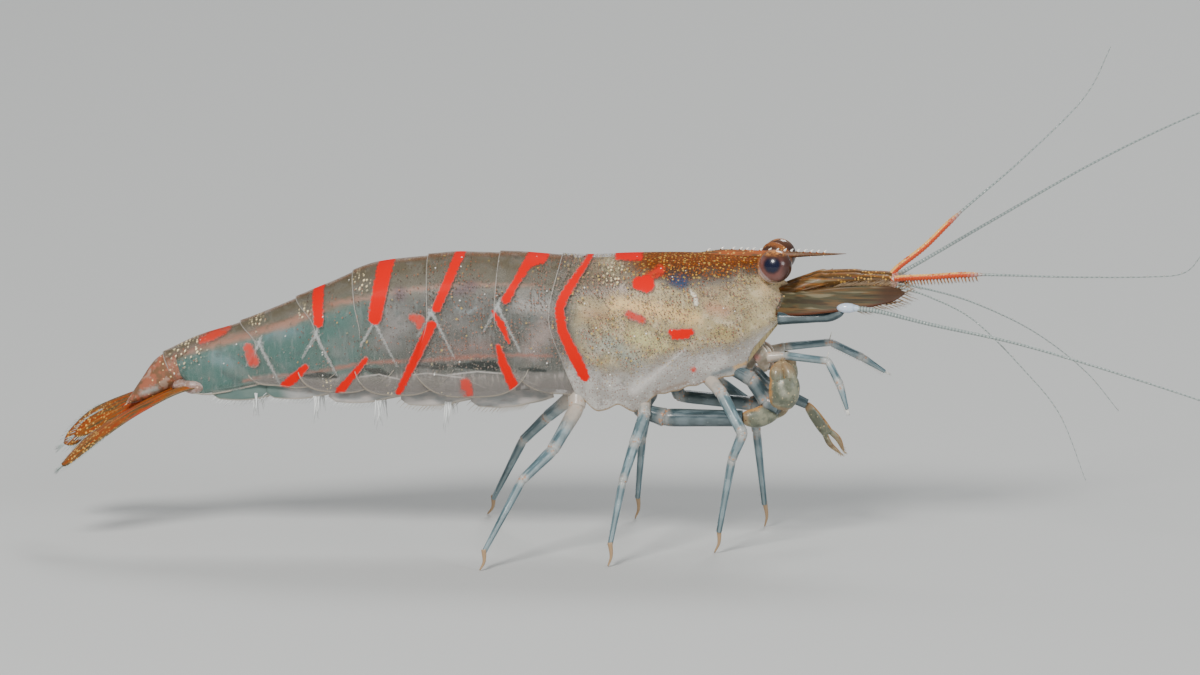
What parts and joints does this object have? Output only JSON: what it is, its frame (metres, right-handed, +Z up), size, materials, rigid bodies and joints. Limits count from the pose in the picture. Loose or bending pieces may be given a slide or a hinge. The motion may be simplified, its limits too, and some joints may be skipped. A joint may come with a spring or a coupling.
{
  "type": "freshwater dwarf shrimp",
  "caption": "Life-size still model of a freshwater dwarf shrimp standing on its walking legs, feelers spread.",
  "frame": {"origin": "floor level under the middle of the whole animal, feelers and tail fan included", "axes": "+X from tail to head, +Z up, the animal's right side towards -Y"},
  "size_m": [0.056, 0.0242, 0.0199],
  "materials": {
    "shell": "milky, faintly translucent shell with red bars and fine yellow and red dots",
    "tail_shell": "clearer blue-grey shell with gold dots along the back",
    "swimmeret": "thin translucent leaves, pale at the edge",
    "tail_fan": "orange streaks on clear blades with yellow dots and a pale fringe",
    "head_shell": "orange-brown streaked, translucent",
    "limb": "glassy blue-white with pale joints",
    "mouth": "pale buff, soft",
    "feeler": "thin, ringed, grey-green and clear",
    "red_feeler": "orange-red near the root, clear and ringed beyond",
    "eye": "glossy dark red-brown with a navy centre",
    "eyestalk": "pale orange-brown"
  },
  "bodies": {
    "root": {"abdomen_1": "shell", "abdomen_2": "shell", "abdomen_3": "shell", "abdomen_4": "tail_shell", "abdomen_5": "tail_shell", "abdomen_6": "tail_shell", "antenna_L": "feeler", "antenna_R": "feeler", "antenna_base_L": "limb", "antenna_base_R": "limb", "antenna_scale_L": "head_shell", "antenna_scale_R": "head_shell", "antennule_base_L": "head_shell", "antennule_base_R": "head_shell", "antennule_inner_L": "feeler", "antennule_inner_R": "feeler", "antennule_outer_L": "red_feeler", "antennule_outer_R": "red_feeler", "carapace": "shell", "cheliped_1_L": "limb", "cheliped_1_R": "limb", "cheliped_2_L": "limb", "cheliped_2_R": "limb", "eye_L": "eye", "eye_R": "eye", "eyestalk_L": "eyestalk", "eyestalk_R": "eyestalk", "leg_3_L": "limb", "leg_3_R": "limb", "leg_4_L": "limb", "leg_4_R": "limb", "leg_5_L": "limb", "leg_5_R": "limb", "maxilliped_L": "limb", "maxilliped_R": "limb", "mouthparts": "mouth", "pleopod_1_L": "swimmeret", "pleopod_1_R": "swimmeret", "pleopod_2_L": "swimmeret", "pleopod_2_R": "swimmeret", "pleopod_3_L": "swimmeret", "pleopod_3_R": "swimmeret", "pleopod_4_L": "swimmeret", "pleopod_4_R": "swimmeret", "pleopod_5_L": "swimmeret", "pleopod_5_R": "swimmeret", "rostrum": "head_shell", "telson": "tail_fan", "uropod_inner_L": "tail_fan", "uropod_inner_R": "tail_fan", "uropod_outer_L": "tail_fan", "uropod_outer_R": "tail_fan"}
  },
  "joints": []
}
